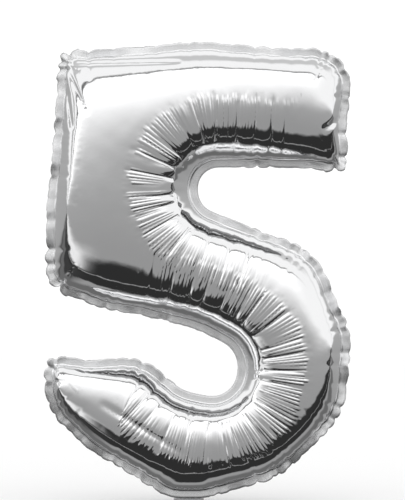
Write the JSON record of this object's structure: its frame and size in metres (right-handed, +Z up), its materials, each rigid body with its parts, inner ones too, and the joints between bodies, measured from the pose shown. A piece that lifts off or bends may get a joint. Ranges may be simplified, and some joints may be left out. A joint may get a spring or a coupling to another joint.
{
  "type": "foil number balloon",
  "caption": "Air-filled foil balloon shaped as the figure 5, with a sealed margin, a folding filling tail and a self-closing two-film valve.",
  "frame": {"origin": "middle of the width, in the plane where the two foil films meet, at the height of the lowest point", "axes": "+X to the reader's right, +Y away from the reader, out of the back of the balloon, +Z up the figure"},
  "size_m": [0.2466, 0.0988, 0.3693],
  "materials": {
    "front_panel": "mirror-bright metallised film, creased",
    "rear_panel": "mirror-bright metallised film, creased",
    "tail_front_ply": "mirror-bright metallised film, flat",
    "tail_rear_ply": "mirror-bright metallised film, flat",
    "valve_front_inlet": "thin milky translucent polyethylene film",
    "valve_rear_inlet": "thin milky translucent polyethylene film",
    "valve_front_film": "thin milky translucent polyethylene film",
    "valve_rear_film": "thin milky translucent polyethylene film"
  },
  "bodies": {
    "figure": {"front_panel": "front_panel", "rear_panel": "rear_panel"},
    "tail": {"tail_front_ply": "tail_front_ply", "tail_rear_ply": "tail_rear_ply", "valve_front_inlet": "valve_front_inlet", "valve_rear_inlet": "valve_rear_inlet"},
    "valve_front": {"valve_front_film": "valve_front_film"},
    "valve_rear": {"valve_rear_film": "valve_rear_film"}
  },
  "joints": [
    {"name": "tail_fold", "type": "hinge", "parent": "figure", "child": "tail", "pos_m": [-0.007, 0, -0.00011], "axis": [-1, 0, 0], "range_deg": [0, 236]},
    {"name": "valve_front_lift", "type": "hinge", "parent": "figure", "child": "valve_front", "pos_m": [-0.007, 0, 0.00209], "axis": [1, 0, 0], "range_deg": [0, 2]},
    {"name": "valve_rear_lift", "type": "hinge", "parent": "figure", "child": "valve_rear", "pos_m": [-0.007, 0, 0.00209], "axis": [1, 0, 0], "range_deg": [-2, 0]}
  ],
  "couplings": [
    {"joint": "valve_rear_lift", "follows": "valve_front_lift", "ratio": -1}
  ]
}
